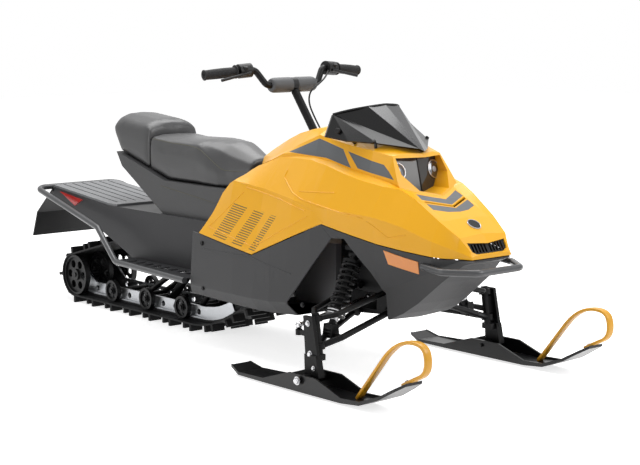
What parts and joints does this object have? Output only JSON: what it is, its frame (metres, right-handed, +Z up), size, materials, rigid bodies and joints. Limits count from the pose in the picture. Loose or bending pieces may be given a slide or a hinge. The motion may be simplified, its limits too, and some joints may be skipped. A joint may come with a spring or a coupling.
{
  "type": "snowmobile",
  "caption": "Youth-size snowmobile with a lugged rubber track on slide rails, two steered skis on double arms, faceted hood, windshield and stepped seat.",
  "frame": {"origin": "middle of the overall length and width, on the ground under the skis and track lugs", "axes": "+X forward along the length, +Y to the rider's left, +Z up"},
  "size_m": [2.558, 0.924, 0.9847],
  "materials": {
    "rubber_track": "matte rubber",
    "wheel_plastic": "satin",
    "aluminium": "satin extruded",
    "black_plastic": "satin",
    "black_steel": "satin powder coat",
    "bright_steel": "zinc plated",
    "grey_tube": "satin paint",
    "dark_painted": "satin paint",
    "deck_grey": "ribbed mat",
    "red_lens": "moulded prisms",
    "seat_plastic": "satin",
    "seat_vinyl": "grained vinyl",
    "yellow_plastic": "gloss paint",
    "dark_plastic": "satin moulded",
    "screen_black": "gloss black",
    "lens_glass": "smoked",
    "cast_engine": "cast",
    "pad_foam": "moulded foam",
    "grip_rubber": "matte",
    "amber_lens": "moulded prisms",
    "grey_insert": "satin"
  },
  "bodies": {
    "chassis": {"belly_pan": "dark_plastic", "bogie_wheels": "wheel_plastic", "bulkhead": "black_steel", "drive_axle": "black_steel", "engine_block": "cast_engine", "front_bumper": "grey_tube", "front_cushion": "seat_vinyl", "headlight_housing": "black_plastic", "headlight_lens": "lens_glass", "hood": "yellow_plastic", "hood_inserts": "grey_insert", "lower_arm_left": "black_steel", "lower_arm_right": "black_steel", "nose_grille": "screen_black", "nose_panel": "dark_plastic", "rear_bumper": "grey_tube", "rear_cushion": "seat_vinyl", "rear_deck": "deck_grey", "rear_shock": "black_steel", "rear_wheels": "wheel_plastic", "running_board_left": "black_steel", "running_board_right": "black_steel", "seat_base": "seat_plastic", "shock_left": "black_steel", "shock_right": "black_steel", "side_panel_left": "yellow_plastic", "side_panel_right": "yellow_plastic", "side_reflectors": "amber_lens", "slide_rails": "aluminium", "sliders": "black_plastic", "snow_flap": "black_plastic", "spring_left": "black_steel", "spring_right": "black_steel", "suspension_arms": "black_steel", "tail_light": "red_lens", "tail_reflectors": "red_lens", "track": "rubber_track", "tunnel": "dark_painted", "upper_arm_left": "black_steel", "upper_arm_right": "black_steel", "upper_idlers": "wheel_plastic", "windshield": "screen_black"},
    "steering": {"bar_pad": "pad_foam", "control_cable": "black_plastic", "control_left": "black_plastic", "control_right": "black_plastic", "grip_left": "grip_rubber", "grip_right": "grip_rubber", "handlebar": "black_steel", "steering_column": "black_steel"},
    "spindle_right_body": {"spindle_right": "black_steel"},
    "spindle_left_body": {"spindle_left": "black_steel"},
    "tie_right_body": {"tie_rod_right": "bright_steel"},
    "tie_left_body": {"tie_rod_left": "bright_steel"},
    "ski_right_body": {"ski_loop_right": "yellow_plastic", "ski_right": "black_plastic", "ski_runner_right": "bright_steel"},
    "ski_left_body": {"ski_left": "black_plastic", "ski_loop_left": "yellow_plastic", "ski_runner_left": "bright_steel"}
  },
  "joints": [
    {"name": "steering", "type": "hinge", "parent": "chassis", "child": "steering", "pos_m": [0.205, 0, 0.894], "axis": [-0.6074, 0, 0.7944], "range_deg": [-35, 35]},
    {"name": "steer_right", "type": "hinge", "parent": "chassis", "child": "spindle_right_body", "pos_m": [0.784, -0.374, 0.044], "axis": [-0.1564, 0, 0.9877], "range_deg": [-32, 32]},
    {"name": "tie_right", "type": "hinge", "parent": "spindle_right_body", "child": "tie_right_body", "pos_m": [0.666, -0.366, 0.1883], "axis": [-0.1564, 0, 0.9877], "range_deg": [-32, 32]},
    {"name": "ski_pitch_right", "type": "hinge", "parent": "spindle_right_body", "child": "ski_right_body", "pos_m": [0.772, -0.4, 0.044], "axis": [0, 1, 0], "range_deg": [-12, 12], "stiffness_Nm_per_rad": 30},
    {"name": "steer_left", "type": "hinge", "parent": "chassis", "child": "spindle_left_body", "pos_m": [0.784, 0.374, 0.044], "axis": [-0.1564, 0, 0.9877], "range_deg": [-32, 32]},
    {"name": "tie_left", "type": "hinge", "parent": "spindle_left_body", "child": "tie_left_body", "pos_m": [0.666, 0.366, 0.1883], "axis": [-0.1564, 0, 0.9877], "range_deg": [-32, 32]},
    {"name": "ski_pitch_left", "type": "hinge", "parent": "spindle_left_body", "child": "ski_left_body", "pos_m": [0.772, 0.4, 0.044], "axis": [0, 1, 0], "range_deg": [-12, 12], "stiffness_Nm_per_rad": 30}
  ],
  "couplings": [
    {"joint": "steer_right", "follows": "steering", "ratio": 0.9},
    {"joint": "tie_right", "follows": "steering", "ratio": -0.9},
    {"joint": "steer_left", "follows": "steering", "ratio": 0.9},
    {"joint": "tie_left", "follows": "steering", "ratio": -0.9}
  ]
}
